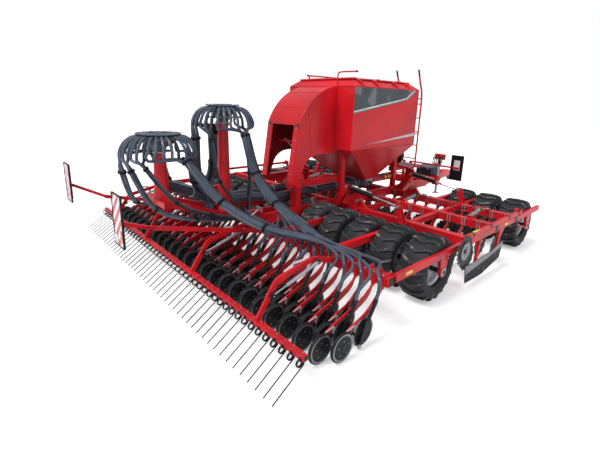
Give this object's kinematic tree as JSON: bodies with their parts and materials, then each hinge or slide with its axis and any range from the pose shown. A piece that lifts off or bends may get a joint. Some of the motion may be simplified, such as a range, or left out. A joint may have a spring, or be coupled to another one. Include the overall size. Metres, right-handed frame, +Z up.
{
  "type": "folding seed drill",
  "caption": "Trailed pneumatic seed drill: hopper, blower and distributor heads over a folding frame with packer tyres, disc coulters and a following harrow.",
  "frame": {"origin": "on the ground below the middle of the whole drill, harrow tines to towing eye", "axes": "+Y forward towards the towing eye, +X to the drill's right, +Z up; the wings are down in the working position"},
  "size_m": [6.212, 10.077, 3.257],
  "materials": {
    "tyre_rubber": "matt",
    "rim_paint": "satin",
    "disc_steel": "worn",
    "press_rubber": "matt",
    "tine_black": "satin",
    "hose_rubber": "satin",
    "pipe_black": "satin",
    "chrome_rod": "polished",
    "black_parts": "satin",
    "board_plate": "satin",
    "frame_red": "gloss",
    "hopper_red": "gloss"
  },
  "bodies": {
    "frame": {"air_pipes": "pipe_black", "centre_frame": "frame_red", "coulter_bar_centre": "frame_red", "coupler_rack": "frame_red", "distributor_heads": "black_parts", "distributor_towers": "frame_red", "fan": "black_parts", "harrow_beam_centre": "frame_red", "harrow_tines_centre": "tine_black", "hopper": "hopper_red", "hoses_centre": "hose_rubber", "hoses_left": "hose_rubber", "hoses_right": "hose_rubber", "ladder": "frame_red", "metering_units": "black_parts", "opener_discs_centre": "disc_steel", "rear_hood": "hopper_red", "tillage_discs_centre": "disc_steel", "toolbox": "black_parts", "tow_eye": "frame_red", "warning_boards": "board_plate"},
    "wing_right": {"wing_frame_right": "frame_red", "tillage_discs_right": "disc_steel", "coulter_bar_right": "frame_red", "opener_discs_right": "disc_steel", "harrow_beam_right": "frame_red", "harrow_tines_right": "tine_black"},
    "packer_rear_right": {"tyres_rear_right": "tyre_rubber", "rims_rear_right": "rim_paint"},
    "packer_front_right": {"tyres_front_right": "tyre_rubber", "rims_front_right": "rim_paint"},
    "barrels_right": {"fold_barrels_right": "frame_red"},
    "rods_right": {"fold_rods_right": "chrome_rod"},
    "marker_right": {"marker_arm_right": "frame_red"},
    "marker_wheel_right": {"marker_disc_right": "black_parts"},
    "wing_left": {"wing_frame_left": "frame_red", "tillage_discs_left": "disc_steel", "coulter_bar_left": "frame_red", "opener_discs_left": "disc_steel", "harrow_beam_left": "frame_red", "harrow_tines_left": "tine_black"},
    "packer_rear_left": {"tyres_rear_left": "tyre_rubber", "rims_rear_left": "rim_paint"},
    "packer_front_left": {"tyres_front_left": "tyre_rubber", "rims_front_left": "rim_paint"},
    "barrels_left": {"fold_barrels_left": "frame_red"},
    "rods_left": {"fold_rods_left": "chrome_rod"},
    "marker_left": {"marker_arm_left": "frame_red"},
    "marker_wheel_left": {"marker_disc_left": "black_parts"},
    "press_front_centre": {"press_wheels_front_centre": "press_rubber"},
    "press_rear_centre": {"press_wheels_rear_centre": "press_rubber"},
    "press_front_right": {"press_wheels_front_right": "press_rubber"},
    "press_rear_right": {"press_wheels_rear_right": "press_rubber"},
    "press_front_left": {"press_wheels_front_left": "press_rubber"},
    "press_rear_left": {"press_wheels_rear_left": "press_rubber"},
    "packer_rear_centre": {"tyres_rear_centre": "tyre_rubber", "rims_rear_centre": "rim_paint"},
    "lid": {"hopper_lid": "hopper_red"},
    "jack": {"jack_leg": "frame_red"}
  },
  "joints": [
    {"name": "wing_right_fold", "type": "hinge", "parent": "frame", "child": "wing_right", "pos_m": [1, -0.0965, 0.88], "axis": [0, -1, 0], "range_deg": [0, 90], "deforming": ["hoses_right"]},
    {"name": "packer_rear_right_spin", "type": "hinge", "parent": "wing_right", "child": "packer_rear_right", "pos_m": [0, -1.6565, 0.45], "axis": [1, 0, 0], "continuous": true},
    {"name": "packer_front_right_spin", "type": "hinge", "parent": "wing_right", "child": "packer_front_right", "pos_m": [0, 1.4635, 0.45], "axis": [1, 0, 0], "continuous": true},
    {"name": "barrels_right_swing", "type": "hinge", "parent": "frame", "child": "barrels_right", "pos_m": [0.84, -0.0965, 1.12], "axis": [0, -1, 0], "range_deg": [0, 92.5]},
    {"name": "rods_right_slide", "type": "slide", "parent": "barrels_right", "child": "rods_right", "axis": [-0.992, 0, 0.1263], "range_m": [0, 0.406]},
    {"name": "marker_right_swing", "type": "hinge", "parent": "wing_right", "child": "marker_right", "pos_m": [3.05, 0.7435, 0.85], "axis": [0, 0, 1], "range_deg": [0, 90]},
    {"name": "marker_wheel_right_spin", "type": "hinge", "parent": "marker_right", "child": "marker_wheel_right", "pos_m": [3.05, -1.2965, 0.68], "axis": [1, 0, 0], "continuous": true},
    {"name": "wing_left_fold", "type": "hinge", "parent": "frame", "child": "wing_left", "pos_m": [-1, -0.0965, 0.88], "axis": [0, 1, 0], "range_deg": [0, 90], "deforming": ["hoses_left"]},
    {"name": "packer_rear_left_spin", "type": "hinge", "parent": "wing_left", "child": "packer_rear_left", "pos_m": [0, -1.6565, 0.45], "axis": [1, 0, 0], "continuous": true},
    {"name": "packer_front_left_spin", "type": "hinge", "parent": "wing_left", "child": "packer_front_left", "pos_m": [0, 1.4635, 0.45], "axis": [1, 0, 0], "continuous": true},
    {"name": "barrels_left_swing", "type": "hinge", "parent": "frame", "child": "barrels_left", "pos_m": [-0.84, -0.0965, 1.12], "axis": [0, 1, 0], "range_deg": [0, 92.5]},
    {"name": "rods_left_slide", "type": "slide", "parent": "barrels_left", "child": "rods_left", "axis": [0.992, 0, 0.1263], "range_m": [0, 0.406]},
    {"name": "marker_left_swing", "type": "hinge", "parent": "wing_left", "child": "marker_left", "pos_m": [-3.05, 0.7435, 0.85], "axis": [0, 0, -1], "range_deg": [0, 90]},
    {"name": "marker_wheel_left_spin", "type": "hinge", "parent": "marker_left", "child": "marker_wheel_left", "pos_m": [-3.05, -1.2965, 0.68], "axis": [1, 0, 0], "continuous": true},
    {"name": "packer_rear_centre_spin", "type": "hinge", "parent": "frame", "child": "packer_rear_centre", "pos_m": [0, -1.6565, 0.45], "axis": [1, 0, 0], "continuous": true},
    {"name": "press_front_centre_spin", "type": "hinge", "parent": "frame", "child": "press_front_centre", "pos_m": [0, -3.5415, 0.168], "axis": [1, 0, 0], "continuous": true},
    {"name": "press_rear_centre_spin", "type": "hinge", "parent": "frame", "child": "press_rear_centre", "pos_m": [0, -3.7265, 0.168], "axis": [1, 0, 0], "continuous": true},
    {"name": "press_front_right_spin", "type": "hinge", "parent": "wing_right", "child": "press_front_right", "pos_m": [0, -3.5415, 0.168], "axis": [1, 0, 0], "continuous": true},
    {"name": "press_rear_right_spin", "type": "hinge", "parent": "wing_right", "child": "press_rear_right", "pos_m": [0, -3.7265, 0.168], "axis": [1, 0, 0], "continuous": true},
    {"name": "press_front_left_spin", "type": "hinge", "parent": "wing_left", "child": "press_front_left", "pos_m": [0, -3.5415, 0.168], "axis": [1, 0, 0], "continuous": true},
    {"name": "press_rear_left_spin", "type": "hinge", "parent": "wing_left", "child": "press_rear_left", "pos_m": [0, -3.7265, 0.168], "axis": [1, 0, 0], "continuous": true},
    {"name": "lid_hinge", "type": "hinge", "parent": "frame", "child": "lid", "pos_m": [0.655, -0.0715, 2.95], "axis": [0, 1, 0], "range_deg": [0, 95]},
    {"name": "jack_slide", "type": "slide", "parent": "frame", "child": "jack", "axis": [0, 0, -1], "range_m": [0, 0.31]}
  ],
  "couplings": [
    {"joint": "barrels_right_swing", "follows": "wing_right_fold", "ratio": 1.0277},
    {"joint": "rods_right_slide", "follows": "wing_right_fold", "m_per_rad": 0.2584},
    {"joint": "barrels_left_swing", "follows": "wing_left_fold", "ratio": 1.0277},
    {"joint": "rods_left_slide", "follows": "wing_left_fold", "m_per_rad": 0.2584}
  ]
}
